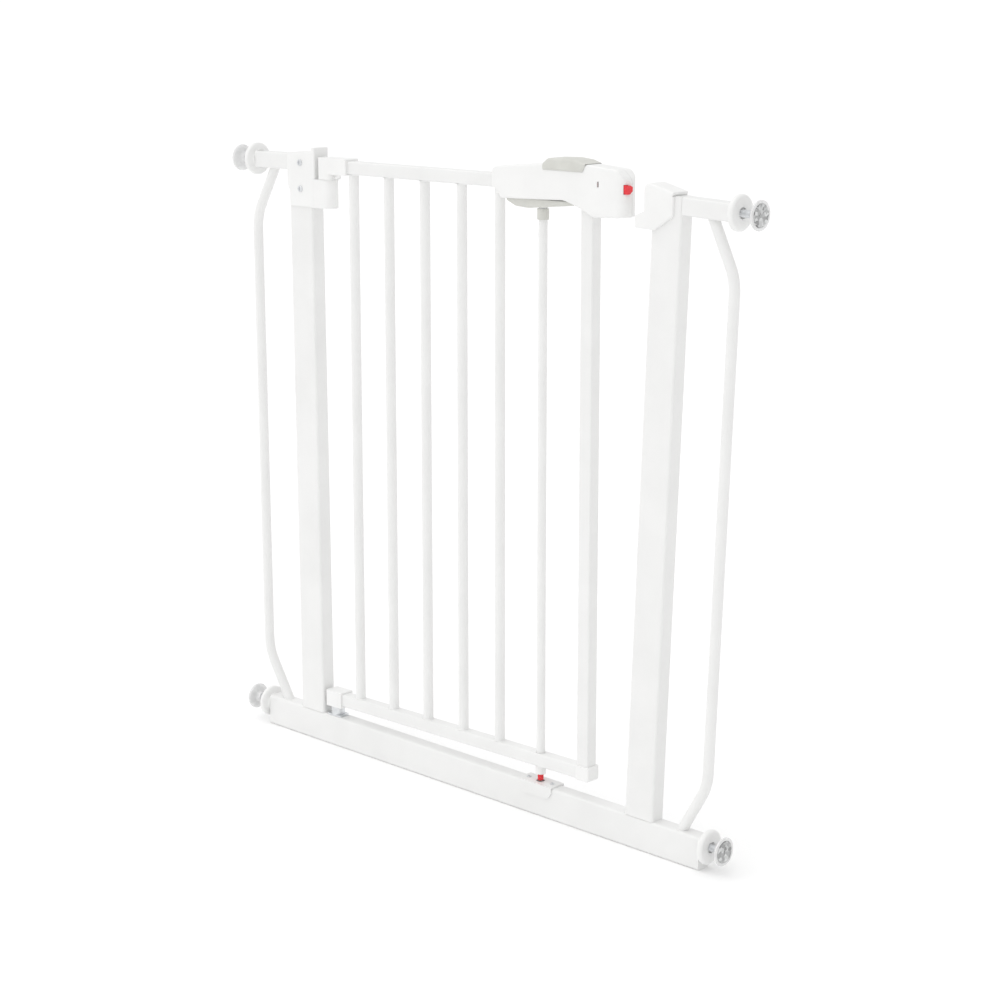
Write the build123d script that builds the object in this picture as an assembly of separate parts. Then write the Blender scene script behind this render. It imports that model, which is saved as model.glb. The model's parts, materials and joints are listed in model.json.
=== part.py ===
from build123d import *
import math
import os

# Pressure-fit safety gate for a doorway or a stair head, in millimetres and degrees.
# Origin: middle of the bottom rail's underside. +X to the latch side, +Y through the opening, +Z up.
# The frame is relaxed, as before fitting: both uprights lean outward, and the door leans with its hinge.

# Frame tubes
clear_width = 492.5          # between the uprights' inner faces, at their feet
frame_shift = -2.2           # the opening's middle, from the rail's middle
upright_width = 40.0
upright_depth = 20.0
upright_height = 693.4       # latch upright, above the rail's top face
hinge_side_rise = 3.5        # the hinge upright stands this much taller
rail_height = 38.0
rail_overhang = 61.75        # rail beyond each upright
frame_wall = 1.5
frame_corner = 3.0
left_lean = 1.39             # outward lean of each relaxed upright
right_lean = 1.27
arm_height = 19.2
arm_corner = 2.0
arm_length = 59.5
side_bar_diameter = 12.0
side_bar_wall = 1.0
left_bar_reach = 90.0        # straight stretch of a side bar, from its upright's middle
right_bar_reach = 86.0
left_bar_foot = 52.0         # a side bar's lower end, from its upright's middle
right_bar_foot = 53.0
left_bar_top = 54.0          # its upper end, likewise
right_bar_top = 53.0
side_bar_rise = 60.0         # height of each slanted end
side_bar_bend = 60.0

# Door
door_lean = 0.97
hinge_gap = 16.2             # hinge axis from the left upright's inner face, at the foot
latch_gap = 56.8             # end tube's outer face to the latch upright's inner face, at the foot
door_drop = 0.5              # door's top below the latch upright's, along the hinge axis
door_rail_size = 15.5
door_wall = 1.2
door_corner = 2.0
bottom_gap = 14.7            # frame rail's top to the door's bottom rail, along the hinge axis
bar_count = 5
bar_diameter = 12.0
bar_wall = 1.0
first_bar = 41.9             # from the hinge axis
rod_inset = 77.9             # lift rod from the end tube's outer face
last_bar_inset = 142.44      # last bar, under the handle's end, from the end tube's outer face
end_tube_width = 17.0
end_tube_depth = 15.6
hinge_pin_radius = 4.0
knuckle_radius = 11.0
knuckle_heel = 7.8           # knuckle's arm past the hinge axis, on the upright's side
knuckle_length = 38.5        # hinge axis to the knuckle's latch-side end
knuckle_drop = 8.0           # barrel below the knuckle's arm
knuckle_wall = 2.5
knuckle_gusset = 10.0
knuckle_web = 6.0
knuckle_corner = 5.0
rail_start = 10.0            # the door rails' hinge ends, from the hinge axis
cap_wall = 2.2

# Hinge bracket and latch receiver, moulded covers at the tops of the uprights
cover_wall = 2.0             # over the front and back of an upright
cover_corner = 4.0
bracket_inside = 6.9         # over the upright's inner side
bracket_outside = 3.2        # over its outer side, near the top
bracket_roof = 5.1           # at the door's side, over the upright's top
bracket_roof_end = 1.2       # at the outer side
bracket_step = 3.0           # lower part, inside the upright's outer side
bracket_length = 67.0        # top to bottom
bracket_ridge = 3.7          # raised strip along the roof's inner edge
bracket_ridge_width = 5.0
socket_radius = 10.2
socket_length = 34.0
socket_floor = 3.0
receiver_length = 49.5
receiver_inside = 9.4        # over the upright's inner side
receiver_roof = 11.6         # at its peak, over the upright's top
receiver_roof_end = 4.0      # at the roof's outer end
receiver_reach = 10.0        # front plate and roof, past the upright's middle
lip_reach = 23.0             # floor of the latch seat, past the upright's inner face
receiver_slit = 1.3          # under the roof's outer end
receiver_slit_depth = 1.5
receiver_corner = 16.5       # front plate's outer lower corner above the cover's underside
receiver_flat = 7.0          # underside past the upright's inner face
lip_height = 11.5
lip_slope = 10.5             # how much higher the floor is at the upright
seat_radius = 15.0
seat_depth = 4.0             # hollow of the latch seat
cover_screw_radius = 3.8
cover_screw_head = 1.6
cover_screw_shank = 6.0
cover_screw_shift = 2.0      # the bracket's screws, from the upright's middle towards the door
bracket_screw_drops = (40.9, 9.8)     # below the upright's top
receiver_screw_drops = (29.4, 7.4)

# Lower hinge and floor strike
lower_hinge_wall = 2.0
lower_hinge_length = 24.0
lower_hinge_width = 16.0
lower_collar_radius = 8.5
hinge_pin_rise = 14.0        # lower pin inside the door's cap
hinge_cap_reach = 12.0       # cap past the hinge axis, to the upright
hinge_cap_length = 15.7
strike_length = 52.0
strike_plate = 1.6
strike_lip = 14.0
strike_hole_radius = 5.0
strike_screw_spacing = 36.0
strike_screw_radius = 2.6

# Handle
handle_grip = 146.5          # length of door rail that the handle covers
handle_depth = 26.0
handle_wall = 2.2
handle_edge = 2.4            # rounding of its long edges
handle_drop = 38.2           # underside at the nose, below the door's top
handle_waist = 24.5          # underside over the lever, below the door's top
nose_radius = 13.0
nose_reach = 35.4            # end tube's outer face to the nose's round centre
nose_facet = 34.0            # flat at each side of the nose, as an angle of its round
slide_inset = 68.0           # slide's hinge-side end, from the end tube's outer face
slide_length = 60.4
slide_rise = 14.2
slide_seat = 8.4             # slide's lower edge above the door's top
slide_travel = 10.0
slide_skirt = 2.0
slide_edge = 3.0
stem_inset = 49.5
stem_length = 22.0
stem_width = 7.0
lever_inset = 21.0           # lever's hinge-side end, from the handle's
lever_half = 9.0
lever_belly = 11.2
lever_travel = 8.0
bolt_height = 9.6
bolt_width = 7.5
bolt_side = -9.3             # the bolt's front side, from the door's middle plane
bolt_drop = 6.6              # bolt's middle below the door's top
bolt_proud = 2.0
link_reach = 18.5            # bolt's cranked end, past the end tube's outer face
window_reach = 11.2          # the lock indicator's slot, past the end tube's outer face
window_width = 2.4
window_height = 6.2
flag_wall = 1.2              # red tab behind the slot

# Lift rod
rod_radius = 5.0
collar_radius = 6.6
collar_drop = 12.0
lower_bolt_radius = 3.5
guide_radius = 6.0
guide_drop = 10.0
bolt_stand_off = 0.5         # the relaxed gate's lower bolt above the strike plate

# Wall fixings
spindle_radius = 4.0
spindle_out = 25.0           # how far a spindle winds out from where it stands
spindle_grip = 10.0          # spindle left inside the tube when it is wound right out
nut_radius = 19.5
nut_rim = 6.5
nut_hub_radius = 11.0
nut_hub = 3.5
nut_bore_radius = 6.0        # counterbore in the nut's outer face
nut_bore = 3.0
pad_radius = 16.0
pad_depth = 11.0
pad_floor = 3.0
pad_stem_radius = 6.0
recess_radius = 12.6
cushion_radius = 12.2
cushion_depth = 2.4
plug_flange = 1.5
plug_insert = 14.0
top_left_gap = 15.2          # spindle showing between each nut and its pad
top_right_gap = 12.5
bottom_left_gap = 15.0
bottom_right_gap = 7.5
fixing_height = 27.2         # bottom spindles above the rail's underside

# Clearances
gap = 0.4                    # between pieces that move past each other
running = 0.05               # radial, between a shaft and its bore

# Worked-out places
hinge_height = upright_height + hinge_side_rise
rail_length = clear_width + 2 * upright_width + 2 * rail_overhang
left_foot = frame_shift - clear_width / 2 - upright_width / 2
right_foot = frame_shift + clear_width / 2 + upright_width / 2
hinge_x = left_foot + upright_width / 2 + hinge_gap
left_frame = Location((left_foot, 0, rail_height), (0, -left_lean, 0))
right_frame = Location((right_foot, 0, rail_height), (0, right_lean, 0))
door_frame = Location((hinge_x, 0, rail_height), (0, -door_lean, 0))
lean_spread = math.tan(math.radians(left_lean)) - math.tan(math.radians(door_lean))
hinge_stand_off = hinge_gap + hinge_height * lean_spread      # hinge axis from the upright, at its top
door_width = clear_width - hinge_gap - latch_gap              # hinge axis to the end tube's outer face
door_top = upright_height - door_drop
rod_place = door_width - rod_inset
last_bar = door_width - last_bar_inset
bar_pitch = (last_bar - first_bar) / (bar_count - 1)
top_rail_under = door_top - door_rail_size
bottom_rail_top = bottom_gap + door_rail_size
knuckle_top = door_top + knuckle_wall
knuckle_sweep = math.hypot(knuckle_heel, knuckle_radius)      # the heel's corner, from the hinge axis
barrel_bottom = top_rail_under - knuckle_drop
socket_top = barrel_bottom - gap
hinge_cap_bottom = bottom_gap - cap_wall
handle_start = door_width - handle_grip
handle_low = door_top - handle_drop
handle_mid = door_top - handle_waist
nose_centre = door_width + nose_reach
slide_start = door_width - slide_inset
stem_start = door_width - stem_inset
lever_start = handle_start + lever_inset
lever_end = door_width - end_tube_width - gap
lever_top = top_rail_under - lever_travel - gap
bolt_middle = door_top - bolt_drop
link_end = door_width + link_reach
window_place = door_width + window_reach
bolt_foot = strike_plate + bolt_stand_off - rod_place * math.sin(math.radians(door_lean))
longest_gap = max(top_left_gap, top_right_gap, bottom_left_gap, bottom_right_gap)


def block(x0, x1, y0, y1, z0, z1):
    """Box between two corners."""
    size = Box(x1 - x0, y1 - y0, z1 - z0)
    return Pos((x0 + x1) / 2, (y0 + y1) / 2, (z0 + z1) / 2) * size


def rod(radius, z0, z1, x=0, y=0):
    """Round bar along Z."""
    return Pos(x, y, (z0 + z1) / 2) * Cylinder(radius, z1 - z0)


def tube(width, depth, length, wall, corner):
    """Rounded rectangular tube along Z, standing on its end at the origin."""
    outer = RectangleRounded(width, depth, corner)
    inner = RectangleRounded(width - 2 * wall, depth - 2 * wall, max(corner - wall, 0.4))
    return extrude(outer - inner, length)


def bar_tube(radius, wall, z0, z1, x):
    """Round tube along Z."""
    return rod(radius, z0, z1, x) - rod(radius - wall, z0, z1, x)


def along_x(shape):
    """Turns a piece that was made along Z so that it runs along X."""
    return Rot(0, 90, 0) * shape


def soften(shape, radius, edges):
    """Rounds edges."""
    return fillet(edges, radius) if len(edges) else shape


def under_rail_top():
    """Everything below the frame rail's top face, to mitre what stands on it."""
    return block(-rail_length, rail_length, -rail_length, rail_length, -rail_length, rail_height)


def write(name, shape):
    """Writes one piece, or one group of like pieces, as a STEP file."""
    shape.label = name
    export_step(shape, f"parts/{name}.step")


# ---------------------------------------------------------------- frame


def bottom_rail():
    body = Pos(-rail_length / 2, 0, rail_height / 2) * along_x(
        tube(rail_height, upright_depth, rail_length, frame_wall, frame_corner))
    strike = strike_axis()
    body -= rod(strike_hole_radius, rail_height - 2 * frame_wall, rail_height + 1, strike)
    for screw in (-strike_screw_spacing / 2, strike_screw_spacing / 2):
        body -= rod(strike_screw_radius / 2, rail_height - 2 * frame_wall, rail_height + 1, strike + screw)
    return body


def upright(place, height, screws, face):
    body = Pos(0, 0, -frame_corner) * tube(
        upright_width, upright_depth, height + frame_corner, frame_wall, frame_corner)
    lid = RectangleRounded(upright_width, upright_depth, frame_corner)
    body += Pos(0, 0, height - frame_wall) * extrude(lid, frame_wall)
    return place * (body - screw_holes(screws, face)) - under_rail_top()


def bracket_screws():
    """Where the bracket's screws go, across and up its upright."""
    return [(cover_screw_shift, hinge_height - drop) for drop in bracket_screw_drops]


def receiver_screws():
    return [(0, upright_height - drop) for drop in receiver_screw_drops]


def screw_holes(screws, face):
    """Holes through a cover and its upright's wall, for the screws that hold the cover."""
    reach = face * (upright_depth / 2 + cover_wall * 2)
    low, high = sorted((0, reach))
    return [rod_y(cover_screw_radius / 2, low, high, x, level) for x, level in screws]


def arm_start(side, height):
    """Where a top arm's hinge-side end stands, flush with its upright's top."""
    start = upright_width / 2 if side > 0 else -upright_width / 2 - arm_length
    return Pos(start, 0, height - arm_height / 2)


def top_arm(place, side, height):
    body = along_x(tube(arm_height, upright_depth, arm_length, frame_wall, arm_corner))
    return place * arm_start(side, height) * body


def side_bar(place, side, height, reach, foot, head):
    """Bent round bar from the arm's underside, out and down past the upright, and in to the rail."""
    arm_under = height - arm_height
    points = [
        (side * foot, 0, -frame_corner),
        (side * reach, 0, side_bar_rise),
        (side * reach, 0, arm_under - side_bar_rise),
        (side * head, 0, arm_under + frame_corner),
    ]
    path = FilletPolyline(*points, radius=side_bar_bend)
    start = Plane(origin=path @ 0, z_dir=path % 0)
    ring = Circle(side_bar_diameter / 2) - Circle(side_bar_diameter / 2 - side_bar_wall)
    body = sweep(start * ring, path=path)
    body -= block(-reach * 2, reach * 2, -upright_depth, upright_depth, arm_under, height)
    return place * body - under_rail_top()


def end_plugs(ends, tube_height, corner, rise):
    """Moulded plugs in tube ends, each with a flange and the spindle's hole."""
    plugs = []
    for place in ends:
        flange = extrude(RectangleRounded(tube_height, upright_depth, corner), plug_flange)
        inner = RectangleRounded(
            tube_height - 2 * frame_wall, upright_depth - 2 * frame_wall, max(corner - frame_wall, 0.4))
        body = flange + Pos(0, 0, -plug_insert) * extrude(inner, plug_insert)
        body = place * Pos(plug_shift(place, rise), 0, 0) * body
        plugs.append(body - place * rod(spindle_radius + gap, -plug_insert - 1, plug_flange + 1))
    return Compound(plugs)


def plug_shift(place, rise):
    """Shift along a fixing's own X that brings a plug from the spindle's height to the tube's middle."""
    up = (place * Pos(1, 0, 0)).position.Z - place.position.Z
    return -rise if up > 0 else rise


def upright_envelope(height):
    return extrude(RectangleRounded(upright_width, upright_depth, frame_corner), height)


def arm_envelope(side, height):
    body = along_x(extrude(RectangleRounded(arm_height, upright_depth, arm_corner), arm_length))
    return arm_start(side, height) * body


def bracket_cover():
    """Hinge bracket's cover, in its upright's frame, before its socket is added."""
    inner = upright_width / 2 + bracket_inside
    outer = upright_width / 2 + bracket_outside
    half = upright_depth / 2 + cover_wall
    top = hinge_height + bracket_roof
    low = top - bracket_length
    body = block(-outer, inner, -half, half, low, top)
    body = soften(body, cover_corner, body.edges().filter_by(Axis.Z))
    body = soften(body, cover_wall, body.faces().sort_by(Axis.Z)[-1].edges())
    ridge = block(inner - bracket_ridge_width, inner, -half, half, low + bracket_length / 2, top + bracket_ridge)
    ridge = soften(ridge, bracket_ridge_width * 0.4, ridge.edges().filter_by(Axis.Z).sort_by(Axis.X)[-2:])
    ridge = soften(ridge, bracket_ridge_width * 0.3, ridge.faces().sort_by(Axis.Z)[-1].edges())
    taper_low = low + bracket_length * 0.27
    taper_high = low + bracket_length * 0.42
    step = -upright_width / 2 + bracket_step
    taper = Plane.XZ * Polygon((-outer - 1, low - 1), (step, low - 1), (step, taper_low),
                               (-outer, taper_high), (-outer - 1, taper_high), align=None)
    slope = Plane.XZ * Polygon((-outer - 1, hinge_height + bracket_roof_end), (inner - bracket_ridge_width, top),
                               (inner - bracket_ridge_width, top + 1), (-outer - 1, top + 1), align=None)
    body -= extrude(slope, half * 2, both=True)
    return body + ridge - extrude(taper, half * 2, both=True)


def hinge_bracket():
    """Cover at the hinge upright's top, with the socket that the door's hinge pin turns in."""
    body = bracket_cover() - upright_envelope(hinge_height) - arm_envelope(-1, hinge_height)
    body = left_frame * (body - screw_holes(bracket_screws(), -1))
    half = upright_depth / 2 + cover_wall
    low = socket_top - socket_length
    plan = Polygon((-hinge_stand_off * 1.5, -half), (-hinge_stand_off, -half), (0, -socket_radius),
                   (0, socket_radius), (-hinge_stand_off, half), (-hinge_stand_off * 1.5, half), align=None)
    web = door_frame * Pos(0, 0, low) * extrude(plan, socket_length)
    web -= left_frame * block(-upright_width * 2, upright_width / 2 + 1, -half * 2, half * 2, 0, hinge_height)
    body = body + web + door_frame * rod(socket_radius, low, socket_top)
    body -= door_frame * rod(knuckle_sweep + gap, socket_top, door_top + knuckle_wall * 8)
    return body - door_frame * rod(hinge_pin_radius + running, low + socket_floor, socket_top + 1)


def cover_screws(place, screws, face):
    """Screws with their heads on a cover's front or back."""
    turn = Rot(90, 0, 0) if face < 0 else Rot(-90, 0, 0)
    depth = face * (upright_depth / 2 + cover_wall + (1 if face > 0 else 0))
    screw = pan_screw(cover_screw_radius, cover_screw_head, cover_screw_shank)
    return [place * Pos(x, depth, level) * turn * screw for x, level in screws]


def strike_axis():
    """Where the lower bolt meets the rail's top face."""
    return (door_frame * Pos(rod_place, 0, 0)).position.X


def lower_hinge_bracket():
    """Steel foot on the frame rail, with a collar round the lower hinge pin."""
    foot = block(-lower_hinge_length / 2, lower_hinge_length / 2, -lower_hinge_width / 2,
                 lower_hinge_width / 2, rail_height, rail_height + lower_hinge_wall)
    foot = soften(foot, 3.0, foot.edges().filter_by(Axis.Z))
    collar = door_frame * rod(lower_collar_radius, 0, hinge_cap_bottom - gap)
    return (Pos(hinge_x, 0, 0) * foot + collar - under_rail_top()
            - door_frame * rod(hinge_pin_radius, -5, hinge_cap_bottom))


def lower_hinge_pin():
    body = door_frame * rod(hinge_pin_radius, 0, hinge_cap_bottom + hinge_pin_rise)
    return body - under_rail_top()


def latch_receiver():
    """Cover at the latch upright's top, with the seat that the handle's nose drops into."""
    half = upright_depth / 2 + cover_wall + 1
    inner = upright_width / 2 + receiver_inside
    side = upright_width / 2
    top = upright_height + receiver_roof
    low = top - receiver_length
    lip_top = low + lip_height + lip_slope
    profile = FilletPolyline(
        (-inner, low), (-inner, top), (-side, top - 1.2), (receiver_reach, upright_height + receiver_roof_end),
        (receiver_reach, low + receiver_corner), (receiver_flat - side, low),
        radius=[0, 7.0, 20.0, 1.5, 3.0, 0], close=True)
    body = extrude(Plane.XZ * make_face(profile), half, both=True)
    body = soften(body, cover_corner * 0.5, body.edges().filter_by(Axis.Z).sort_by(Axis.X)[:2])
    lip = Plane.XZ * Polygon((-side - lip_reach, low), (-side, low), (-side, lip_top),
                             (-side - lip_reach, low + lip_height), align=None)
    lip = extrude(lip, half, both=True)
    lip = soften(lip, 6.0, lip.edges().filter_by(Axis.Z).sort_by(Axis.X)[:2])
    seat = rod(seat_radius, lip_top, top + 1, -inner - seat_radius + seat_depth)
    pocket = block(-inner - 1, -side, -bolt_width - 2, 3, bolt_middle - 8, bolt_middle + 8)
    slit = block(receiver_reach - receiver_slit_depth, receiver_reach + 1, -half, half,
                 upright_height - 1, upright_height + receiver_slit)
    body = body + lip - seat - pocket - slit - upright_envelope(upright_height)
    return right_frame * (body - screw_holes(receiver_screws(), 1))


def strike_outline():
    """Front view of the strike plate, with the lips' lower corners rounded."""
    half = strike_length / 2
    top = rail_height + strike_plate
    low = rail_height - strike_lip
    face = Polygon((-half, low), (half, low), (half, top), (-half, top), align=None)
    return Plane.XZ * fillet(face.vertices().sort_by(Axis.Y)[:2], strike_lip * 0.8)


def strike_plate_body():
    """Saddle over the rail that the lower bolt drops into."""
    middle = strike_axis()
    half = upright_depth / 2
    body = extrude(strike_outline(), half + strike_plate, both=True)
    body -= block(-strike_length, strike_length, -half, half, 0, rail_height)
    body -= rod(strike_hole_radius, rail_height - 1, rail_height + 5)
    for screw in (-strike_screw_spacing / 2, strike_screw_spacing / 2):
        body -= rod(strike_screw_radius / 2, rail_height - 1, rail_height + 5, screw)
    return Pos(middle, 0, 0) * body


def strike_screws():
    screws = []
    for side in (-1, 1):
        place = Pos(strike_axis() + side * strike_screw_spacing / 2, 0, rail_height + strike_plate)
        screws.append(place * pan_screw(strike_screw_radius, 1.3, 6))
    return Compound(screws)


def pan_screw(radius, height, shank):
    """Pan-head cross-recess screw, its head standing on the origin."""
    head = extrude(Circle(radius), height)
    head = soften(head, height * 0.5, head.faces().sort_by(Axis.Z)[-1].edges())
    slot = radius * 1.1
    cross = Box(slot, radius * 0.28, height) + Box(radius * 0.28, slot, height)
    return head - Pos(0, 0, height) * cross + Pos(0, 0, -shank) * extrude(Circle(radius / 2), shank + 0.01)


# ---------------------------------------------------------------- door


def door_top_rail():
    length = door_width - end_tube_width - rail_start
    body = Pos(rail_start, 0, top_rail_under + door_rail_size / 2) * along_x(
        tube(door_rail_size, door_rail_size, length, door_wall, door_corner))
    return door_frame * body


def door_bottom_rail():
    length = door_width - end_tube_width - rail_start
    body = Pos(rail_start, 0, bottom_gap + door_rail_size / 2) * along_x(
        tube(door_rail_size, door_rail_size, length, door_wall, door_corner))
    body -= rod(rod_radius + gap, bottom_gap + door_rail_size / 2, bottom_rail_top + 1, rod_place)
    body -= rod(lower_bolt_radius + gap, bottom_gap - 1, bottom_gap + door_rail_size / 2, rod_place)
    return door_frame * body


def door_bar(index):
    x = first_bar + index * bar_pitch
    return door_frame * bar_tube(bar_diameter / 2, bar_wall, bottom_rail_top, top_rail_under, x)


def door_end_tube():
    middle = door_width - end_tube_width / 2
    body = tube(end_tube_width, end_tube_depth, door_top - bottom_gap, door_wall, door_corner)
    return door_frame * Pos(middle, 0, bottom_gap) * body


def rail_solid(z0, start):
    """The outside of a door rail, for pieces that wrap round it."""
    body = along_x(extrude(RectangleRounded(door_rail_size, door_rail_size, door_corner),
                           door_width - end_tube_width - start))
    return Pos(start, 0, z0 + door_rail_size / 2) * body


def tube_solid():
    """The outside of the door's end tube."""
    section = RectangleRounded(end_tube_width, end_tube_depth, door_corner)
    return Pos(door_width - end_tube_width / 2, 0, bottom_gap) * extrude(section, door_top - bottom_gap)


def upper_hinge_knuckle():
    """Moulded elbow on the top rail's end, with a barrel round the hinge axis."""
    arm = block(-knuckle_heel, knuckle_length, -knuckle_radius, knuckle_radius, top_rail_under - 1.2, knuckle_top)
    arm = soften(arm, 1.2, arm.faces().sort_by(Axis.X)[-1].edges())
    barrel = block(-knuckle_heel, knuckle_radius, -knuckle_radius, knuckle_radius, barrel_bottom, knuckle_top)
    barrel = soften(barrel, knuckle_corner, barrel.edges().filter_by(Axis.Z).sort_by(Axis.X)[-2:])
    reach = knuckle_radius + knuckle_gusset
    gusset = Plane.XZ * Polygon((0, top_rail_under), (reach, top_rail_under), (knuckle_radius - 1, barrel_bottom),
                                (0, barrel_bottom), align=None)
    body = arm + barrel + extrude(gusset, knuckle_web / 2, both=True)
    body -= rail_solid(top_rail_under, rail_start)
    body -= rod(bar_diameter / 2, barrel_bottom, top_rail_under, first_bar)
    body -= rod(hinge_pin_radius, barrel_bottom - 1, knuckle_top - 4)
    return door_frame * body


def upper_hinge_pin():
    return door_frame * rod(hinge_pin_radius, socket_top - 22, knuckle_top - 4)


def hinge_cap():
    """Moulded cap on the bottom rail's hinge end, bored for the lower pin."""
    half = door_rail_size / 2 + cap_wall
    body = block(-hinge_cap_reach, hinge_cap_length, -half, half, hinge_cap_bottom, bottom_rail_top + cap_wall)
    body = soften(body, 3.0, body.edges().filter_by(Axis.Z).sort_by(Axis.X)[:2])
    body = soften(body, 1.0, body.faces().sort_by(Axis.Z)[-1].edges())
    body -= rail_solid(bottom_gap, rail_start)
    body -= rod(hinge_pin_radius + running, hinge_cap_bottom - 1, hinge_cap_bottom + hinge_pin_rise + gap)
    return door_frame * body


def corner_cap():
    """Moulded cap on the end tube's foot."""
    half = end_tube_depth / 2 + 1.6
    start = door_width - end_tube_width
    body = block(start, door_width + cap_wall, -half, half, bottom_gap - 0.8, bottom_rail_top + 1.2)
    body = soften(body, 3.0, body.faces().sort_by(Axis.Z)[0].edges().sort_by(Axis.X)[-1:])
    body = soften(body, 1.2, body.edges().filter_by(Axis.Z))
    return door_frame * (body - rail_solid(bottom_gap, rail_start) - tube_solid())


def rod_guide():
    """Bush under the bottom rail that the lower bolt slides in."""
    body = rod(guide_radius, bottom_gap - guide_drop, bottom_gap, rod_place)
    body -= rod(lower_bolt_radius + running, bottom_gap - guide_drop - 1, bottom_gap + 1, rod_place)
    return door_frame * body


# ---------------------------------------------------------------- handle


def handle_outline(inset):
    """Side view of the handle, in the door's frame."""
    end = nose_centre + nose_radius
    points = [
        (handle_start, top_rail_under + 1.5), (handle_start, door_top + 8.0),
        (handle_start + 70, door_top + 14.5), (handle_start + 140, door_top + 17.2),
        (end - 12, door_top + 14.0), (end, door_top + 4.0),
        (end + 0.5, handle_low + 1.5), (door_width + 4, handle_low - 0.5),
        (door_width - 16, handle_low + 8.5), (door_width - 38, handle_mid + 1.5),
        (handle_start + 14, handle_mid - 2.0), (handle_start + 11, handle_mid + 5.0),
    ]
    radii = [3.0, 8.0, 60.0, 60.0, 10.0, 12.0, 5.0, 12.0, 12.0, 30.0, 4.0, 4.0]
    face = make_face(FilletPolyline(*points, radius=radii, close=True))
    return offset(face, -inset) if inset else face


def handle_plan(inset):
    """Top view of the handle: narrow at the rail end, round at the nose."""
    start = handle_start - 1
    narrow = door_rail_size / 2 + 2.8
    wide = handle_depth / 2
    end = nose_centre + nose_radius
    round_nose = nose_radius - 0.05
    points = [(start, -narrow), (handle_start + 50, -wide), (end, -wide), (end, wide),
              (handle_start + 50, wide), (start, narrow)]
    face = make_face(FilletPolyline(*points, radius=[4.0, 60.0, round_nose, round_nose, 60.0, 4.0], close=True))
    return offset(face, -inset) if inset else face


def handle_block(inset):
    side = extrude(Plane.XZ * handle_outline(inset), handle_depth, both=True)
    top = Pos(0, 0, handle_low - 20) * extrude(handle_plan(inset), 120)
    return side & top


def lever_outline():
    """Side view of the squeeze lever: a shallow belly under the handle."""
    top = lever_top
    start = lever_start
    end = lever_end
    path = FilletPolyline((start, top), (start + 1, top - 4.5), (start + 14, top - 10.0),
                          (start + 32, top - lever_belly), (end - 28, top - 6.5), (end, top - 3.5), (end, top),
                          radius=[0.6, 2.0, 12.0, 25.0, 40.0, 1.5, 0.6], close=True)
    return Plane.XZ * make_face(path)


def handle_body():
    body = handle_block(0)
    body = soften(body, handle_edge, handle_rim(body))
    for side in (-1, 1):
        body -= nose_flat(side)
    body -= handle_block(handle_wall)
    body += handle_ribs()
    body -= rail_solid(top_rail_under, rail_start)
    body -= tube_solid()
    body -= rod(bar_diameter / 2, handle_low - 10, top_rail_under, last_bar)
    half = lever_half + gap
    body -= block(lever_start - gap, lever_end + gap, -half, half, handle_low - 10, top_rail_under - 0.01)
    body -= slide_slot()
    body -= bolt_length(door_width + 1, nose_centre + nose_radius * 2, gap)
    low, high = window_levels()
    body -= block(window_place - window_width / 2, window_place + window_width / 2,
                  -handle_depth, bolt_side - gap, low, high)
    return body


def nose_flat(side):
    """What is cut off beside the nose, to leave a flat with an upright crease."""
    turn = math.radians(nose_facet)
    x = nose_centre + nose_radius * math.sin(turn)
    y = nose_radius * math.cos(turn)
    plan = Polygon((nose_centre, side * nose_radius), (x, side * y), (x, side * nose_radius * 1.2),
                   (nose_centre, side * nose_radius * 1.2), align=None)
    return Pos(0, 0, handle_low - 20) * extrude(plan, 120)


def window_levels():
    """The lock indicator's slot, bottom and top."""
    low = bolt_middle + 0.7
    return low, low + window_height


def handle_rim(body):
    """The handle's outer edges, apart from those across its ends."""
    return body.edges().filter_by(lambda e: abs(e.center().Y) > 4 and e.length > 5)


def handle_ribs():
    """Blocks inside the handle that clamp the top rail and the end tube."""
    half = handle_depth / 2 - handle_wall + 0.3
    low = top_rail_under - 6
    left = block(handle_start + 6, handle_start + 16, -half + 2, half - 2, low, door_top + 4)
    middle = block(door_width - end_tube_width - 6, door_width - 1, -half, half, top_rail_under - 4, door_top)
    return left + middle


def slide_slot():
    """Slot in the handle's roof that the slide's stem moves along."""
    half = stem_width / 2 + gap
    return block(stem_start - slide_travel - gap, stem_start + stem_length + gap, -half, half,
                 door_top + 3, door_top + 30)


def handle_shells():
    """The handle's front and back halves."""
    body = handle_body()
    reach = handle_depth * 2
    front = block(handle_start - 20, nose_centre + 60, -reach, 0, handle_low - 40, door_top + 60)
    back = block(handle_start - 20, nose_centre + 60, 0, reach, handle_low - 40, door_top + 60)
    for x, z in handle_screw_places():
        body -= rod_y(1.3, -handle_depth / 2 + handle_wall, handle_depth, x, z)
        body -= rod_y(2.8, handle_depth / 2 - 1.6, handle_depth, x, z)
    return door_frame * (body & front), door_frame * (body & back)


def rod_y(radius, y0, y1, x, z):
    """Round bar along Y."""
    return Pos(x, (y0 + y1) / 2, z) * Rot(90, 0, 0) * Cylinder(radius, y1 - y0)


def handle_screw_places():
    return [(handle_start + 22, door_top + 4.6), (door_width + 9, door_top + 8.0), (door_width + 9, handle_low + 9)]


def handle_screws():
    screws = []
    for x, z in handle_screw_places():
        place = Pos(x, handle_depth / 2 - 1.6, z) * Rot(-90, 0, 0)
        screws.append(door_frame * place * pan_screw(2.5, 1.2, 9))
    return Compound(screws)


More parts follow.
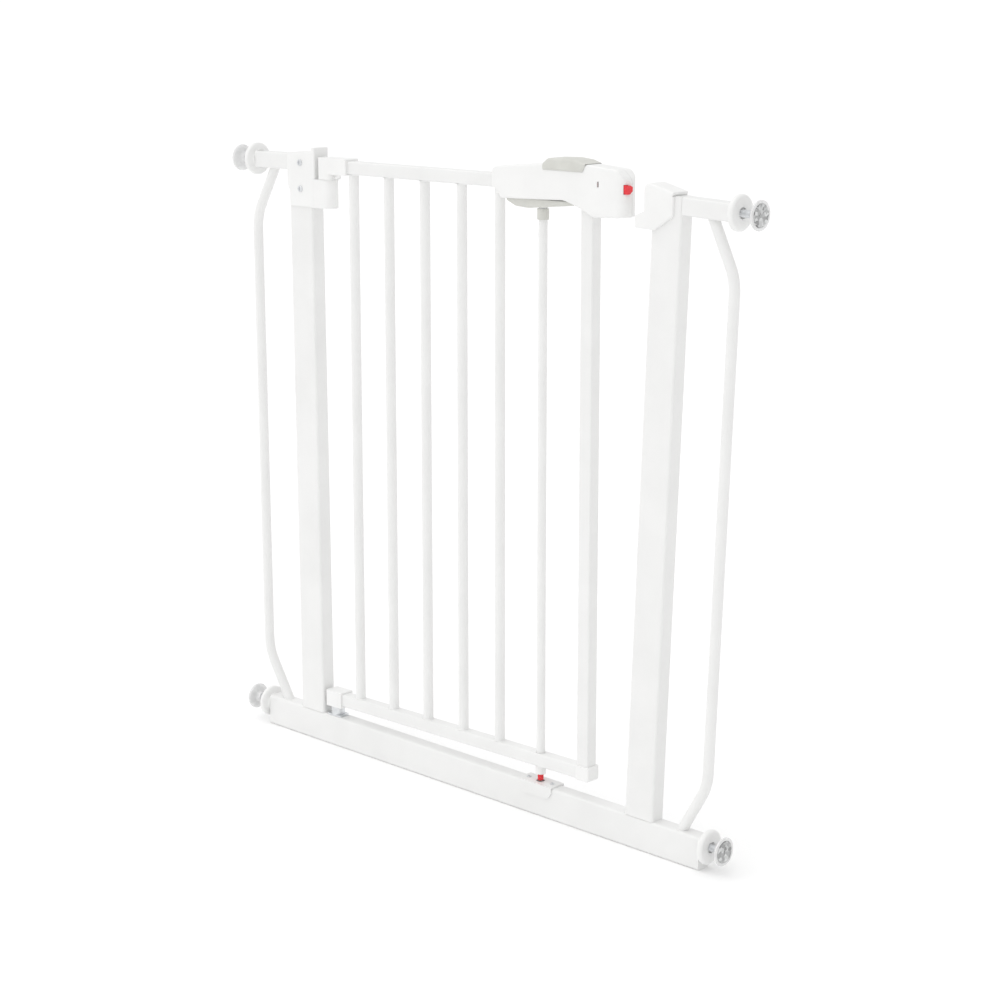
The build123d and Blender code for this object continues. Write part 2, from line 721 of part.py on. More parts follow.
def slide_button():
    """Saddle on the handle's roof, with a stem down through the slot."""
    start = slide_start
    end = slide_start + slide_length
    low = door_top + slide_seat
    path = FilletPolyline(
        (start, low), (end - 2.5, low), (end + 2.5, low + slide_rise * 0.65), (end - 9, low + slide_rise * 0.89),
        (start + 34, low + slide_rise), (start + 8, low + slide_rise * 0.93), (start, low + slide_rise / 2),
        radius=[1.5, 1.5, 0.8, 12.0, 60.0, 8.0, 5.0], close=True)
    half = handle_depth / 2 + slide_skirt
    body = extrude(Plane.XZ * make_face(path), half, both=True)
    crest = body.edges().filter_by(lambda e: e.center().Z > low + 4 and abs(e.center().Y) > half - 1)
    body = soften(body, slide_edge, crest)
    body -= handle_block(-gap)
    stem = block(stem_start, stem_start + stem_length, -stem_width / 2, stem_width / 2,
                 door_top + 3.4, door_top + 18)
    return door_frame * (body + stem)


def bolt_length(x0, x1, grow):
    """The latch bolt's shank: a bar with its inner edges cut back, grown all round for its hole."""
    low = bolt_middle - bolt_height / 2
    high = bolt_middle + bolt_height / 2
    edge = bolt_side + bolt_width * 0.44
    far = bolt_side + bolt_width
    section = Polygon((bolt_side, low), (edge, low), (far, low + 3.2), (far, high - 2.0), (edge, high),
                      (bolt_side, high), align=None)
    if grow:
        section = offset(section, grow, kind=Kind.INTERSECTION)
    return Pos(x0, 0, 0) * extrude(Plane.YZ * section, x1 - x0)


def latch_bolt():
    """Red bolt: a link over the end tube, a flag behind the window, and the tip in the handle's nose."""
    link_top = door_top + 6.5
    link = block(stem_start + stem_length, link_end, bolt_side, bolt_side + bolt_width, door_top + 0.8, link_top)
    riser = block(link_end - 6, link_end, bolt_side, bolt_side + bolt_width, bolt_middle, link_top)
    low, high = window_levels()
    flag = block(window_place - window_width / 2, link_end, bolt_side, bolt_side + flag_wall, low - 1, high + 1)
    shank = bolt_length(link_end - 6, nose_centre + nose_radius + bolt_proud, 0)
    return door_frame * (link + riser + flag + shank)


def bolt_spring():
    """Compression spring behind the slide's stem, drawn at its shortest."""
    wire = 0.7
    coil = 2.6
    path = Helix(pitch=2.0, height=10, radius=coil)
    section = Plane(origin=path @ 0, z_dir=path % 0) * Circle(wire / 2)
    body = sweep(section, path=path, is_frenet=True)
    place = Pos(stem_start - slide_travel - gap - 12, 0, door_top + 7) * Rot(0, 90, 0)
    return door_frame * place * body


# ---------------------------------------------------------------- lift rod


def release_lever():
    body = extrude(lever_outline(), lever_half, both=True)
    belly = body.edges().filter_by(lambda e: e.center().Z < lever_top - 3 and abs(e.center().Y) > lever_half - 1)
    body = soften(body, 1.5, belly)
    body -= rod(rod_radius, lever_top - 20, lever_top - 1.5, rod_place)
    return door_frame * body


def rod_collar():
    low = lever_top - lever_belly - collar_drop
    body = rod(collar_radius, low, lever_top - lever_belly - 0.2, rod_place)
    body -= rod(rod_radius, low - 1, lever_top, rod_place)
    return door_frame * body


def lift_rod():
    low = bottom_gap + door_wall + 1
    return door_frame * bar_tube(rod_radius, bar_wall, low, lever_top - 1.5, rod_place)


def lower_bolt():
    """Red pin in the lift rod's foot; its tip stands over the strike's hole."""
    body = rod(lower_bolt_radius, bolt_foot, bottom_gap + door_wall + 1, rod_place)
    body += rod(rod_radius - bar_wall, bottom_gap + door_wall + 1, bottom_rail_top + 6, rod_place)
    body = soften(body, 1.0, body.edges().sort_by(Axis.Z)[:1])
    return door_frame * body


# ---------------------------------------------------------------- wall fixings


def fixing_places():
    """Each tube end that takes a spindle: its place, with +Z outward, and the spindle length showing."""
    out_x = upright_width / 2 + arm_length
    left_level = hinge_height - arm_height / 2
    right_level = upright_height - arm_height / 2
    return {
        "top_left": (left_frame * Pos(-out_x, 0, left_level) * Rot(0, -90, 0), top_left_gap),
        "top_right": (right_frame * Pos(out_x, 0, right_level) * Rot(0, 90, 0), top_right_gap),
        "bottom_left": (Pos(-rail_length / 2, 0, fixing_height) * Rot(0, -90, 0), bottom_left_gap),
        "bottom_right": (Pos(rail_length / 2, 0, fixing_height) * Rot(0, 90, 0), bottom_right_gap),
    }


def hand_nut():
    """Hand wheel on the spindle that bears on the tube's end plug."""
    low = plug_flange + gap
    high = low + nut_hub + nut_rim
    bore = spindle_radius + running
    profile = FilletPolyline(
        (bore, low), (nut_hub_radius, low), (nut_hub_radius, low + nut_hub * 0.5),
        (nut_radius, low + nut_hub), (nut_radius, high), (nut_bore_radius, high),
        (nut_bore_radius, high - nut_bore), (bore, high - nut_bore),
        radius=[0.1, 1.0, 2.0, 2.6, 3.2, 0.8, 0.6, 0.1], close=True)
    return revolve(Plane.XZ * make_face(profile), Axis.Z)


def pad_start(showing):
    return plug_flange + gap + nut_hub + nut_rim + showing


def spindle(showing):
    end = pad_start(showing) + pad_depth - pad_floor
    length = pad_start(longest_gap) + pad_depth - pad_floor + spindle_out + spindle_grip
    body = rod(spindle_radius, end - length, end)
    return soften(body, spindle_radius / 5, body.edges().sort_by(Axis.Z)[:1])


def wall_pad(showing):
    """Trumpet-shaped foot on the spindle's end."""
    low = pad_start(showing)
    high = low + pad_depth
    floor = high - cushion_depth
    rim = high - cushion_depth * 0.4
    profile = FilletPolyline(
        (0, low), (pad_stem_radius, low), (pad_stem_radius + 0.8, low + pad_depth * 0.45),
        (pad_radius, high - 3.2), (pad_radius, rim), (recess_radius, rim), (recess_radius, floor), (0, floor),
        radius=[0, 1.0, 4.0, 1.0, 0.5, 0, 0, 0], close=True)
    body = revolve(Plane.XZ * make_face(profile), Axis.Z)
    return body - rod(spindle_radius, low - 1, high - pad_floor)


def pad_cushion(showing):
    high = pad_start(showing) + pad_depth
    body = rod(cushion_radius, high - cushion_depth, high)
    return soften(body, 0.6, body.faces().sort_by(Axis.Z)[-1].edges())


def frame_pieces():
    yield "bottom_rail", bottom_rail()
    yield "left_upright", upright(left_frame, hinge_height, bracket_screws(), -1)
    yield "right_upright", upright(right_frame, upright_height, receiver_screws(), 1)
    yield "left_top_arm", top_arm(left_frame, -1, hinge_height)
    yield "right_top_arm", top_arm(right_frame, 1, upright_height)
    yield "left_side_bar", side_bar(
        left_frame, -1, hinge_height, left_bar_reach, left_bar_foot, left_bar_top)
    yield "right_side_bar", side_bar(
        right_frame, 1, upright_height, right_bar_reach, right_bar_foot, right_bar_top)
    places = fixing_places()
    tops = [places["top_left"][0], places["top_right"][0]]
    feet = [places["bottom_left"][0], places["bottom_right"][0]]
    yield "arm_end_plugs", end_plugs(tops, arm_height, arm_corner, 0)
    yield "rail_end_plugs", end_plugs(feet, rail_height, frame_corner, fixing_height - rail_height / 2)
    yield "hinge_bracket", hinge_bracket()
    yield "hinge_bracket_screws", Compound(cover_screws(left_frame, bracket_screws(), -1))
    yield "lower_hinge_bracket", lower_hinge_bracket()
    yield "lower_hinge_pin", lower_hinge_pin()
    yield "latch_receiver", latch_receiver()
    yield "receiver_screws", Compound(cover_screws(right_frame, receiver_screws(), 1))
    yield "strike_plate", strike_plate_body()
    yield "strike_screws", strike_screws()


def door_pieces():
    yield "door_top_rail", door_top_rail()
    yield "door_bottom_rail", door_bottom_rail()
    for index in range(bar_count):
        yield f"door_bar_{index + 1}", door_bar(index)
    yield "door_end_tube", door_end_tube()
    yield "upper_hinge_knuckle", upper_hinge_knuckle()
    yield "upper_hinge_pin", upper_hinge_pin()
    yield "door_hinge_cap", hinge_cap()
    yield "door_corner_cap", corner_cap()
    yield "lift_rod_guide", rod_guide()
    front, back = handle_shells()
    yield "handle_front_shell", front
    yield "handle_back_shell", back
    yield "handle_screws", handle_screws()
    yield "latch_bolt_spring", bolt_spring()


def moving_pieces():
    yield "slide_button", slide_button()
    yield "latch_bolt", latch_bolt()
    yield "release_lever", release_lever()
    yield "lift_rod_collar", rod_collar()
    yield "lift_rod", lift_rod()
    yield "lower_bolt", lower_bolt()
    for name, (place, showing) in fixing_places().items():
        yield f"{name}_nut", place * hand_nut()
        yield f"{name}_spindle", place * spindle(showing)
        yield f"{name}_pad", place * wall_pad(showing)
        yield f"{name}_pad_cushion", place * pad_cushion(showing)


def main():
    os.makedirs("parts", exist_ok=True)
    for pieces in (frame_pieces, door_pieces, moving_pieces):
        for name, shape in pieces():
            write(name, shape)


if __name__ == "__main__":
    main()
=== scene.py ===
import json
import math

import bpy
from mathutils import Matrix, Vector


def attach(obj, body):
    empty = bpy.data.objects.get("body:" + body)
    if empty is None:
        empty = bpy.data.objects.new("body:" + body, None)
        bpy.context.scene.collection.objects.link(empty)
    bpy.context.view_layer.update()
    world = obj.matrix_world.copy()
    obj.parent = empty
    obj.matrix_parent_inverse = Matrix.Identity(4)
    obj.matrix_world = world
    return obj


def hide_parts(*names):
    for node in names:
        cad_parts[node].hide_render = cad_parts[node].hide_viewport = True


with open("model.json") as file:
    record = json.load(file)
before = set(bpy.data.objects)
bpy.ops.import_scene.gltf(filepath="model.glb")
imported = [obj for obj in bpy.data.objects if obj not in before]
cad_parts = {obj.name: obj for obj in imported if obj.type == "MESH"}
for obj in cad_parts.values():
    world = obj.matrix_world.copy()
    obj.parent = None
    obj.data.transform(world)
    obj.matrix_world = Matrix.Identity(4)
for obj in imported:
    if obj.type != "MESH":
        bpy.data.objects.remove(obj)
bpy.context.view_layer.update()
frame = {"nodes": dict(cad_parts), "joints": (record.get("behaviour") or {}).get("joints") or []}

bl_info = {
    "name": "Safety gate finishes",
    "version": (1, 0, 0),
    "blender": (4, 5, 0),
    "location": "View3D > Sidebar > Safety gate",
    "description": "Finishes and small turned parts for a pressure-fit safety gate",
    "category": "Object",
}

FIXINGS = ("top_left", "top_right", "bottom_left", "bottom_right")
MM = 0.001


def to_linear(code):
    """Linear RGBA of an sRGB hex colour."""
    parts = [int(code[i : i + 2], 16) / 255 for i in (1, 3, 5)]
    return [c / 12.92 if c <= 0.04045 else ((c + 0.055) / 1.055) ** 2.4 for c in parts] + [1.0]


def darker(colour, share):
    """A colour with its light cut to a share."""
    return [c * share for c in colour[:3]] + [1.0]


def add_node(tree, kind, sockets=(), **settings):
    """Adds a node, sets its properties, and fills or links its sockets."""
    made = tree.nodes.new(kind)
    for name, value in settings.items():
        setattr(made, name, value)
    for socket, value in dict(sockets).items():
        if isinstance(value, bpy.types.NodeSocket):
            tree.links.new(value, made.inputs[socket])
        else:
            made.inputs[socket].default_value = value
    return made


def new_finish(name, **sockets):
    """A material with one shader, its tree, and the point on the gate in metres."""
    material = bpy.data.materials.new(name)
    material.use_nodes = True
    tree = material.node_tree
    tree.nodes.clear()
    shader = add_node(tree, "ShaderNodeBsdfPrincipled", {k.replace("_", " "): v for k, v in sockets.items()})
    add_node(tree, "ShaderNodeOutputMaterial", {"Surface": shader.outputs["BSDF"]})
    place = add_node(tree, "ShaderNodeTexCoord").outputs["Object"]
    return material, tree, shader, place


def surface(tree, shader, place, colour, other, patch, rough, grain, height):
    """Colour that drifts over patches, roughness that follows them, and a bump of that grain and height."""
    drift = add_node(tree, "ShaderNodeTexNoise", {"Vector": place, "Scale": 1 / patch, "Detail": 4.0})
    spread = add_node(tree, "ShaderNodeMapRange", {
        "Value": drift.outputs["Fac"], "From Min": 0.35, "From Max": 0.65})
    shade = add_node(tree, "ShaderNodeMix", {
        0: spread.outputs["Result"], 6: colour, 7: other}, data_type="RGBA")
    rubbed = add_node(tree, "ShaderNodeTexNoise", {"Vector": place, "Scale": 5 / patch, "Detail": 5.0})
    gloss = add_node(tree, "ShaderNodeMapRange", {
        "Value": rubbed.outputs["Fac"], "From Min": 0.3, "From Max": 0.7,
        "To Min": rough[0], "To Max": rough[1]})
    ripple = add_node(tree, "ShaderNodeTexNoise", {
        "Vector": place, "Scale": 1 / grain, "Detail": 2.0, "Roughness": 0.4})
    bump = add_node(tree, "ShaderNodeBump", {
        "Height": ripple.outputs["Fac"], "Strength": 1.0, "Distance": height})
    tree.links.new(shade.outputs[2], shader.inputs["Base Color"])
    tree.links.new(gloss.outputs["Result"], shader.inputs["Roughness"])
    tree.links.new(bump.outputs["Normal"], shader.inputs["Normal"])
    return shade.outputs[2], bump


def wear(nodes, material):
    """Gives CAD nodes one material."""
    for name in nodes:
        mesh = frame["nodes"][name].data
        mesh.materials.clear()
        mesh.materials.append(material)


def matching(*words):
    """CAD nodes whose names hold any of the words."""
    return sorted(n for n in frame["nodes"] if any(w in n for w in words))


def joint(name):
    return next(j for j in frame["joints"] if j["name"] == name)


def ends(node, direction):
    """Where a straight node starts and stops along a direction, with the middle of each end."""
    points = [v.co for v in frame["nodes"][node].data.vertices]
    along = [p.dot(direction) for p in points]
    found = []
    for limit in (min(along), max(along)):
        near = [p for p, a in zip(points, along) if abs(a - limit) < 0.5 * MM]
        found.append(sum(near, Vector()) / len(near))
    return found


def new_piece(name, points, faces, material, body):
    """A smooth mesh piece that rides on a body."""
    mesh = bpy.data.meshes.new(name)
    mesh.from_pydata(points, [], faces)
    mesh.validate()
    mesh.shade_smooth()
    mesh.materials.append(material)
    piece = bpy.data.objects.new(name, mesh)
    bpy.context.scene.collection.objects.link(piece)
    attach(piece, body)
    return piece


class GateColours(bpy.types.PropertyGroup):
    """Colours of the gate's finishes."""

    coat: bpy.props.FloatVectorProperty(
        name="Powder coat", description="Baked coat on the steel tubes", subtype="COLOR", size=4,
        min=0, max=1, default=to_linear("#ECECEB"))
    moulding: bpy.props.FloatVectorProperty(
        name="White moulding", description="White ABS of the handle, covers, plugs and hand nuts",
        subtype="COLOR", size=4, min=0, max=1, default=to_linear("#F0F0EF"))
    grip: bpy.props.FloatVectorProperty(
        name="Grey moulding", description="Warm grey ABS of the thumb slide and the lift lever",
        subtype="COLOR", size=4, min=0, max=1, default=to_linear("#D4D4CE"))
    bolt: bpy.props.FloatVectorProperty(
        name="Red bolts", description="Red acetal of both bolts", subtype="COLOR", size=4,
        min=0, max=1, default=to_linear("#F0303A"))
    zinc: bpy.props.FloatVectorProperty(
        name="Zinc plate", description="Bright zinc on the screws, pins and spindles", subtype="COLOR",
        size=4, min=0, max=1, default=to_linear("#E4E6E8"))
    # The pad face's own grey, which the painted reflections on the pads darken cell by cell.
    rubber: bpy.props.FloatVectorProperty(
        name="Pad face", description="Soft ring on the face of each wall pad", subtype="COLOR", size=4,
        min=0, max=1, default=to_linear("#DADBDB"))


class GateSizes(bpy.types.PropertyGroup):
    """Sizes of the fine detail."""

    peel: bpy.props.FloatProperty(
        name="Orange peel", description="Spacing of the powder coat's ripples", unit="LENGTH",
        default=3.0 * MM)
    grain: bpy.props.FloatProperty(
        name="Mould grain", description="Grain etched in the moulds", unit="LENGTH", default=1.0 * MM)
    thread_depth: bpy.props.FloatProperty(
        name="Thread depth", description="Depth of the spindles' thread", unit="LENGTH", default=0.7 * MM)
    thread_pitch: bpy.props.FloatProperty(
        name="Thread pitch", description="Rise of the spindles' thread in one turn", unit="LENGTH",
        default=1.25 * MM)
    # Size of the cells of painted highlight and painted shade on the pads' faces.
    glint_cell_size: bpy.props.FloatProperty(
        name="Pad facet", description="Size of the facets on the pads' faces", unit="LENGTH",
        default=3.5 * MM)
    bead: bpy.props.FloatProperty(
        name="Weld bead", description="Width of the bead round each welded bar", unit="LENGTH",
        default=1.3 * MM)


class GATE_OT_coat_tubes(bpy.types.Operator):
    """Powder-coats the frame's and the door's steel tubes"""

    bl_idname = "gate.coat_tubes"
    bl_label = "Coat the tubes"

    def execute(self, context):
        colours, sizes = context.scene.gate_colours, context.scene.gate_sizes
        # Polyester powder coat baked on steel: satin gloss over a soft ripple, a shade greyer where thin.
        material, tree, shader, place = new_finish(
            "Polyester powder coat, baked, satin", Coat_Weight=0.2, Coat_Roughness=0.12)
        surface(tree, shader, place, colours.coat, darker(colours.coat, 0.965), 60 * MM, (0.3, 0.42),
                sizes.peel, 0.05 * MM)
        wear(matching("rail", "upright", "arm", "side_bar", "door_bar", "end_tube", "strike_plate"), material)
        wear(["lift_rod"], material)
        return {"FINISHED"}


class GATE_OT_mould_white(bpy.types.Operator):
    """Moulds the handle shells, covers, caps, plugs and hand nuts in white"""

    bl_idname = "gate.mould_white"
    bl_label = "Mould the white parts"

    def execute(self, context):
        colours, sizes = context.scene.gate_colours, context.scene.gate_sizes
        # Injection-moulded ABS, spark-etched mould: softer gloss than the tubes, with a fine even grain.
        material, tree, shader, place = new_finish("ABS, injection moulded, fine grain")
        surface(tree, shader, place, colours.moulding, darker(colours.moulding, 0.975), 35 * MM, (0.36, 0.46),
                sizes.grain, 0.022 * MM)
        wear(matching("plug", "bracket", "receiver", "knuckle", "_cap", "guide", "_nut"), material)

        # The same ABS on the two handle shells, with the fine dark parting line where they meet.
        material, tree, shader, place = new_finish("ABS, injection moulded, with parting line")
        colour, bump = surface(
            tree, shader, place, colours.moulding, darker(colours.moulding, 0.975), 35 * MM, (0.34, 0.44),
            sizes.grain, 0.022 * MM)
        depth = add_node(tree, "ShaderNodeSeparateXYZ", {"Vector": place}).outputs["Y"]
        off = add_node(tree, "ShaderNodeMath", {0: depth}, operation="ABSOLUTE")
        line = add_node(tree, "ShaderNodeMapRange", {
            "Value": off.outputs[0], "From Min": 0.12 * MM, "From Max": 0.4 * MM,
            "To Min": 0.8, "To Max": 1.0})
        lined = add_node(tree, "ShaderNodeMix", {0: 1.0, 6: colour, 7: line.outputs["Result"]},
                         data_type="RGBA", blend_type="MULTIPLY")
        tree.links.new(lined.outputs[2], shader.inputs["Base Color"])
        wear(["handle_front_shell", "handle_back_shell"], material)
        return {"FINISHED"}


class GATE_OT_mould_grey(bpy.types.Operator):
    """Moulds the thumb slide, the lift lever and its collar in warm grey"""

    bl_idname = "gate.mould_grey"
    bl_label = "Mould the grey parts"

    def execute(self, context):
        colours, sizes = context.scene.gate_colours, context.scene.gate_sizes
        # Warm grey ABS, matt mould: a broad soft sheen and a grain a thumb can feel.
        material, tree, shader, place = new_finish("ABS, warm grey, matt grain")
        surface(tree, shader, place, colours.grip, darker(colours.grip, 0.93), 18 * MM, (0.42, 0.55),
                sizes.grain, 0.04 * MM)
        wear(["slide_button", "release_lever", "lift_rod_collar"], material)
        return {"FINISHED"}


class GATE_OT_mould_bolts(bpy.types.Operator):
    """Moulds the two red bolts"""

    bl_idname = "gate.mould_bolts"
    bl_label = "Mould the red bolts"

    def execute(self, context):
        colours, sizes = context.scene.gate_colours, context.scene.gate_sizes
        # Red acetal: glossy and slightly waxy, darker in its flow lines.
        material, tree, shader, place = new_finish("Acetal, red, moulded gloss", Subsurface_Weight=0.08,
                                                   Subsurface_Scale=1.0 * MM)
        surface(tree, shader, place, colours.bolt, darker(colours.bolt, 0.8), 6 * MM, (0.22, 0.34),
                sizes.grain, 0.015 * MM)
        wear(["latch_bolt", "lower_bolt"], material)
        return {"FINISHED"}


class GATE_OT_plate_hardware(bpy.types.Operator):
    """Zinc-plates the screws, pins, foot and spring, and cuts the spindles' threads"""

    bl_idname = "gate.plate_hardware"
    bl_label = "Plate the hardware"

    def execute(self, context):
        colours, sizes = context.scene.gate_colours, context.scene.gate_sizes
        # Bright zinc on steel: cool silver, with faint cloudy spangle and soft drawn marks.
        material, tree, shader, place = new_finish("Steel, bright zinc plated", Metallic=1.0)
        surface(tree, shader, place, colours.zinc, darker(colours.zinc, 0.86), 7 * MM, (0.28, 0.46),
                sizes.grain, 0.02 * MM)
        wear(matching("screws", "_pin", "spring", "lower_hinge_bracket"), material)
        for name in FIXINGS:
            self.cut_thread(name, material, sizes)
        return {"FINISHED"}

    def cut_thread(self, name, material, sizes):
        """One spindle, turned with a full thread and chamfered ends."""
        node = name + "_spindle"
        direction = Vector(joint(name + "_spindle_slide")["axis"]).normalized()
        start, stop = ends(node, direction)
        length = (stop - start).length
        side = direction.cross(Vector((0, 1, 0))).normalized()
        other = direction.cross(side)
        radius = max((v.co - start).cross(direction).length for v in frame["nodes"][node].data.vertices)
        round_steps, pitch_steps = 32, 8
        chamfer_length, clearance = 1.0 * MM, 0.01 * MM
        rows = int(length / sizes.thread_pitch * pitch_steps)
        points, faces = [], []
        for row in range(rows + 1):
            far = length * row / rows
            chamfer = min(chamfer_length, far, length - far) - chamfer_length
            for step in range(round_steps):
                turn = step / round_steps
                phase = (far / sizes.thread_pitch - turn) % 1
                # Straight flanks with a short flat at each crest and root.
                cut = min(1.0, max(0.0, 1.15 - abs(2 * phase - 1) * 1.3)) * sizes.thread_depth
                reach = min(radius - cut, radius + chamfer) - clearance
                angle = turn * 2 * math.pi
                outward = side * math.cos(angle) + other * math.sin(angle)
                points.append(start + direction * far + outward * reach)
        for row in range(rows):
            for step in range(round_steps):
                a, b = row * round_steps + step, row * round_steps + (step + 1) % round_steps
                faces.append((a, b, b + round_steps, a + round_steps))
        faces.append(tuple(range(round_steps - 1, -1, -1)))
        faces.append(tuple(range(rows * round_steps, (rows + 1) * round_steps)))
        piece = new_piece(name + "_threaded_spindle", points, faces, material, name + "_spindle")
        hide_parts(node)


class GATE_OT_mould_pads(bpy.types.Operator):
    """Moulds the clear wall pads and their soft faces"""

    bl_idname = "gate.mould_pads"
    bl_label = "Mould the wall pads"

    def execute(self, context):
        colours, sizes = context.scene.gate_colours, context.scene.gate_sizes
        # Clear polycarbonate: a glossy water-clear skin with bright rims, over what it holds.
        material, tree, shader, place = new_finish("Polycarbonate, clear, moulded", Alpha=0.8, IOR=1.58)
        surface(tree, shader, place, to_linear("#F7F7F7"), to_linear("#EAEAEA"), 6 * MM, (0.03, 0.09),
                2 * sizes.grain, 0.02 * MM)
        wear([n + "_pad" for n in FIXINGS], material)
        # Soft clear rubber over the spindle's end, with painted reflections: cells of painted highlight and
        # painted shade, some bright and some dark.
        material, tree, shader, place = new_finish("Thermoplastic rubber, clear, with painted glints", Coat_Weight=0.6)
        surface(tree, shader, place, colours.rubber, darker(colours.rubber, 0.75), 5 * MM, (0.15, 0.3),
                sizes.grain, 0.03 * MM)
        # Painted reflections: each cell takes a grey between a third of the face's colour and the full
        # colour, as painted glints and painted shade.
        glint_cells = add_node(tree, "ShaderNodeTexVoronoi", {"Vector": place, "Scale": 1 / sizes.glint_cell_size})
        glint_tone = add_node(tree, "ShaderNodeSeparateXYZ", {"Vector": glint_cells.outputs["Color"]}).outputs["X"]
        shade = add_node(tree, "ShaderNodeMix", {0: glint_tone, 6: darker(colours.rubber, 0.3), 7: colours.rubber},
                         data_type="RGBA")
        tree.links.new(shade.outputs[2], shader.inputs["Base Color"])
        wear(matching("pad_cushion"), material)
        return {"FINISHED"}


class GATE_OT_weld_bars(bpy.types.Operator):
    """Lays a painted weld bead round each end of the door's bars"""

    bl_idname = "gate.weld_bars"
    bl_label = "Weld the bars"

    def execute(self, context):
        material = bpy.data.materials["Polyester powder coat, baked, satin"]
        bead = context.scene.gate_sizes.bead
        around, bends, sink = 48, 4, 0.1 * MM
        direction = Vector(joint("door_hinge")["axis"]).normalized()
        side = Vector((0, 1, 0)).cross(direction).normalized()
        other = direction.cross(side)
        for number, node in enumerate(matching("door_bar_")):
            points, faces = [], []
            low, high = ends(node, direction)
            reach = max((v.co - low).cross(direction).length for v in frame["nodes"][node].data.vertices)
            for end, inward in ((low, 1), (high, -1)):
                first = len(points)
                for step in range(around):
                    angle = step / around * 2 * math.pi
                    # The bead swells and thins as the torch pauses, differently on each bar.
                    swell = 0.16 * math.sin(9 * angle + number) + 0.08 * math.sin(23 * angle + 2 * number)
                    wide = bead * (1 + swell)
                    outward = side * math.cos(angle) + other * math.sin(angle)
                    for part in range(bends + 1):
                        bend = part / bends * math.pi / 2
                        out = reach - sink + wide * (1 - math.sin(bend))
                        up = wide * (1 - math.cos(bend))
                        points.append(end + outward * out + direction * inward * (up - sink / 2))
                for step in range(around):
                    for part in range(bends):
                        a = first + step * (bends + 1) + part
                        b = first + (step + 1) % around * (bends + 1) + part
                        face = (a, b, b + 1, a + 1)
                        faces.append(face if inward > 0 else face[::-1])
            new_piece(node + "_welds", points, faces, material, "door")
        return {"FINISHED"}


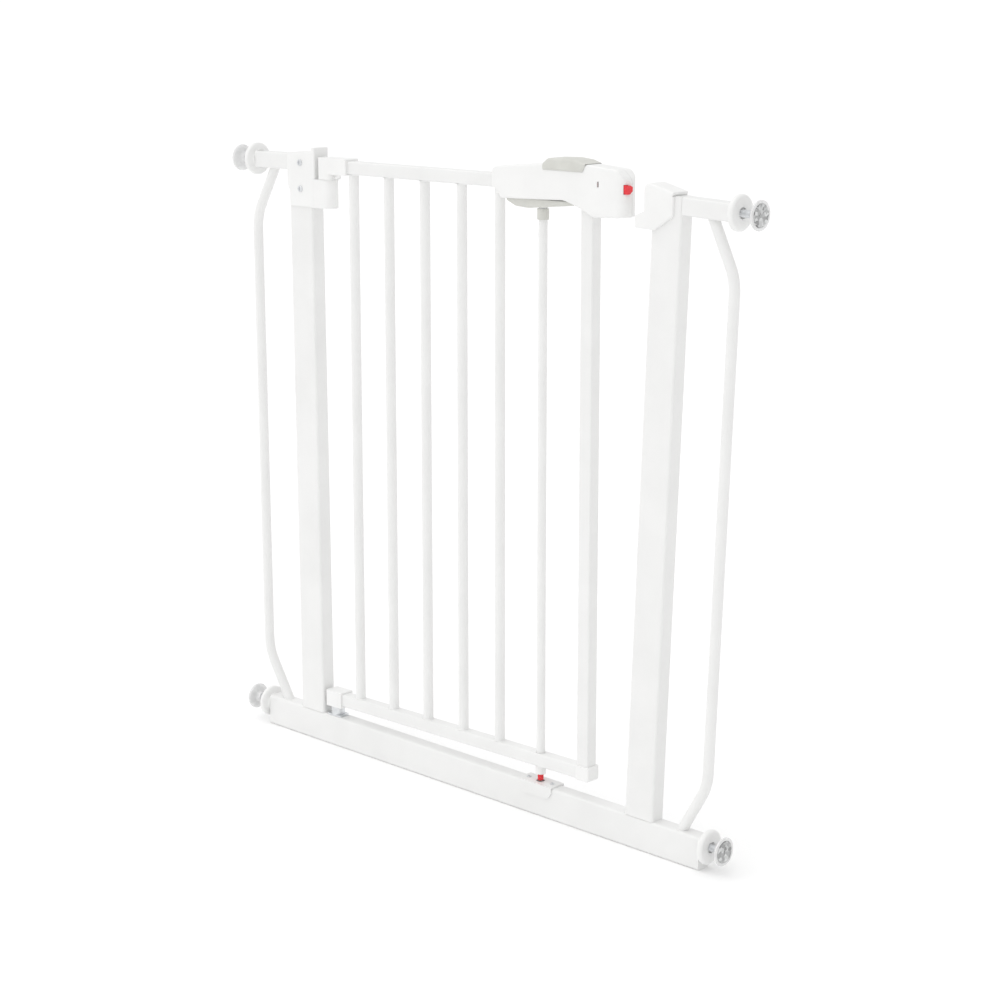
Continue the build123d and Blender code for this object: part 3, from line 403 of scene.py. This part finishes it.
class GATE_OT_set_stage(bpy.types.Operator):
    """Pale floor, soft studio light and the camera"""

    bl_idname = "gate.set_stage"
    bl_label = "Set the stage"

    def execute(self, context):
        scene = context.scene
        mesh = bpy.data.meshes.new("Studio floor")
        half = 30
        corners = [(-half, -half, 0), (half, -half, 0), (half, half, 0), (-half, half, 0)]
        mesh.from_pydata(corners, [], [(0, 1, 2, 3)])
        floor = bpy.data.objects.new("Studio_floor", mesh)
        scene.collection.objects.link(floor)
        material, tree, shader, place = new_finish("Matt white studio floor", Roughness=0.9)
        drift = add_node(tree, "ShaderNodeTexNoise", {"Vector": place, "Scale": 2.0})
        shade = add_node(tree, "ShaderNodeMix", {
            0: drift.outputs["Fac"], 6: to_linear("#FFFFFF"), 7: to_linear("#FDFDFD")}, data_type="RGBA")
        tree.links.new(shade.outputs[2], shader.inputs["Base Color"])
        mesh.materials.append(material)

        world = bpy.data.worlds.new("Soft white studio")
        scene.world = world
        world.use_nodes = True
        tree = world.node_tree
        tree.nodes.clear()
        # Light that fades from the front left to the right, and a white backdrop for the eye.
        way = add_node(tree, "ShaderNodeTexCoord").outputs["Generated"]
        brightest = (-0.75, -0.45, 0.5)
        lean = add_node(tree, "ShaderNodeVectorMath", {0: way, 1: brightest}, operation="DOT_PRODUCT")
        level = add_node(tree, "ShaderNodeMapRange", {
            "Value": lean.outputs["Value"], "From Min": -0.8, "From Max": 0.9,
            "To Min": 0.77, "To Max": 0.955})
        white = (1, 1, 1, 1)
        soft = add_node(tree, "ShaderNodeBackground", {"Color": white, "Strength": level.outputs["Result"]})
        plain = add_node(tree, "ShaderNodeBackground", {"Color": white, "Strength": 1.1})
        seen = add_node(tree, "ShaderNodeLightPath").outputs["Is Camera Ray"]
        mix = add_node(tree, "ShaderNodeMixShader", {
            0: seen, 1: soft.outputs["Background"], 2: plain.outputs["Background"]})
        add_node(tree, "ShaderNodeOutputWorld", {"Surface": mix.outputs["Shader"]})

        sun = bpy.data.lights.new("Overhead softbox", "SUN")
        sun.energy = 0.7
        sun.angle = math.radians(70)
        lamp = bpy.data.objects.new("Overhead_softbox", sun)
        lamp.rotation_euler = (math.radians(20), math.radians(-14), 0)
        scene.collection.objects.link(lamp)

        azimuth, elevation, roll = (math.radians(a) for a in (42.61, 13.54, 0.75))
        back = Vector((math.sin(azimuth) * math.cos(elevation), -math.cos(azimuth) * math.cos(elevation),
                       math.sin(elevation)))
        level_right = Vector((math.cos(azimuth), math.sin(azimuth), 0))
        level_up = level_right.cross(-back)
        right = level_right * math.cos(roll) + level_up * math.sin(roll)
        up = level_up * math.cos(roll) - level_right * math.sin(roll)
        lens = bpy.data.cameras.new("Catalogue camera")
        lens.lens, lens.sensor_width = 83.13, 36.0
        lens.clip_start, lens.clip_end = 0.1, 100
        camera = bpy.data.objects.new("Catalogue_camera", lens)
        turn = Matrix((right, up, back)).transposed()
        aim = Vector((48.64, -10.0, 365.46)) * MM
        distance = 2637.89 * MM
        camera.matrix_world = Matrix.Translation(aim + back * distance) @ turn.to_4x4()
        scene.collection.objects.link(camera)
        scene.camera = camera
        scene.view_settings.view_transform = "Standard"
        return {"FINISHED"}


STEPS = (GATE_OT_coat_tubes, GATE_OT_mould_white, GATE_OT_mould_grey, GATE_OT_mould_bolts,
         GATE_OT_plate_hardware, GATE_OT_mould_pads, GATE_OT_weld_bars, GATE_OT_set_stage)


class GATE_PT_panel(bpy.types.Panel):
    """Lists the gate's steps in the sidebar"""

    bl_idname = "GATE_PT_panel"
    bl_label = "Safety gate"
    bl_space_type = "VIEW_3D"
    bl_region_type = "UI"
    bl_category = "Safety gate"

    def draw(self, context):
        for group in (context.scene.gate_colours, context.scene.gate_sizes):
            for name in group.__annotations__:
                self.layout.prop(group, name)
        for step in STEPS:
            self.layout.operator(step.bl_idname)


CLASSES = (GateColours, GateSizes, *STEPS, GATE_PT_panel)


def register():
    for cls in CLASSES:
        bpy.utils.register_class(cls)
    bpy.types.Scene.gate_colours = bpy.props.PointerProperty(type=GateColours)
    bpy.types.Scene.gate_sizes = bpy.props.PointerProperty(type=GateSizes)


def unregister():
    del bpy.types.Scene.gate_sizes
    del bpy.types.Scene.gate_colours
    for cls in reversed(CLASSES):
        bpy.utils.unregister_class(cls)


def main():
    register()
    for step in STEPS:
        group, name = step.bl_idname.split(".")
        getattr(getattr(bpy.ops, group), name)()


if __name__ == "__main__":
    main()
